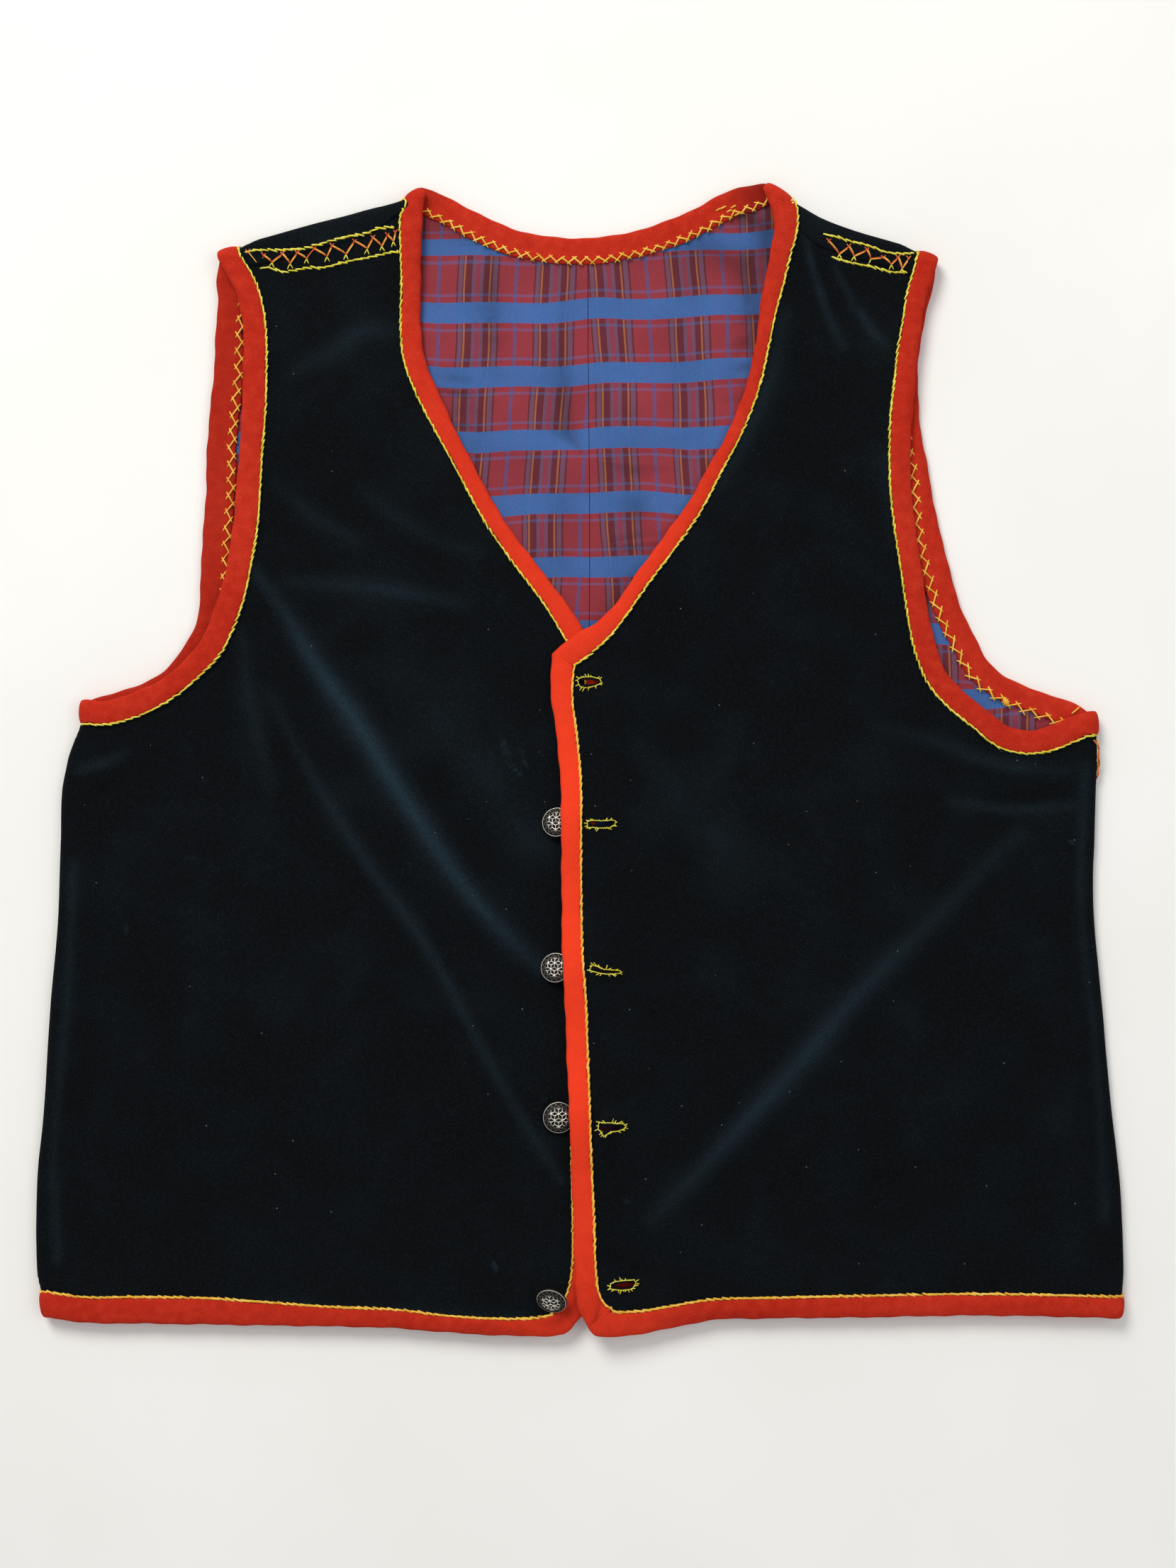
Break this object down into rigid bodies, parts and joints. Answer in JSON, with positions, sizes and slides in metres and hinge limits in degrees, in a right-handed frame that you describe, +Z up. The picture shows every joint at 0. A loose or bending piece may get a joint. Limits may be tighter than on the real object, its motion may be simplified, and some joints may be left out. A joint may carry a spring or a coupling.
{
  "type": "folk waistcoat laid out flat",
  "caption": "Sleeveless velvet waistcoat lying flat with its front up, V neck, bound edges, lapped centre front with domed metal buttons.",
  "frame": {"origin": "centre of the bounding box in plan, on the surface that the waistcoat lies on", "axes": "+Z up out of the garment's front, +Y from the hem towards the neck, +X towards the wearer's left front"},
  "size_m": [0.5532, 0.585, 0.0166],
  "materials": {
    "velvet": "dark navy cotton velvet with a soft nap",
    "plaid_lining": "matt cotton plaid in crimson, maroon and blue",
    "wool_binding": "felted red wool",
    "pewter": "cast pewter, dark in its hollows"
  },
  "bodies": {
    "root": {"back": "velvet", "lining_right": "plaid_lining", "lining_left": "plaid_lining", "front_right": "velvet", "front_left": "velvet", "neck_binding": "wool_binding", "front_binding_right": "wool_binding", "front_binding_left": "wool_binding", "hem_binding": "wool_binding", "armhole_binding_right": "wool_binding", "armhole_binding_left": "wool_binding", "button_2": "pewter", "button_3": "pewter", "button_4": "pewter", "button_5": "pewter"}
  },
  "joints": []
}
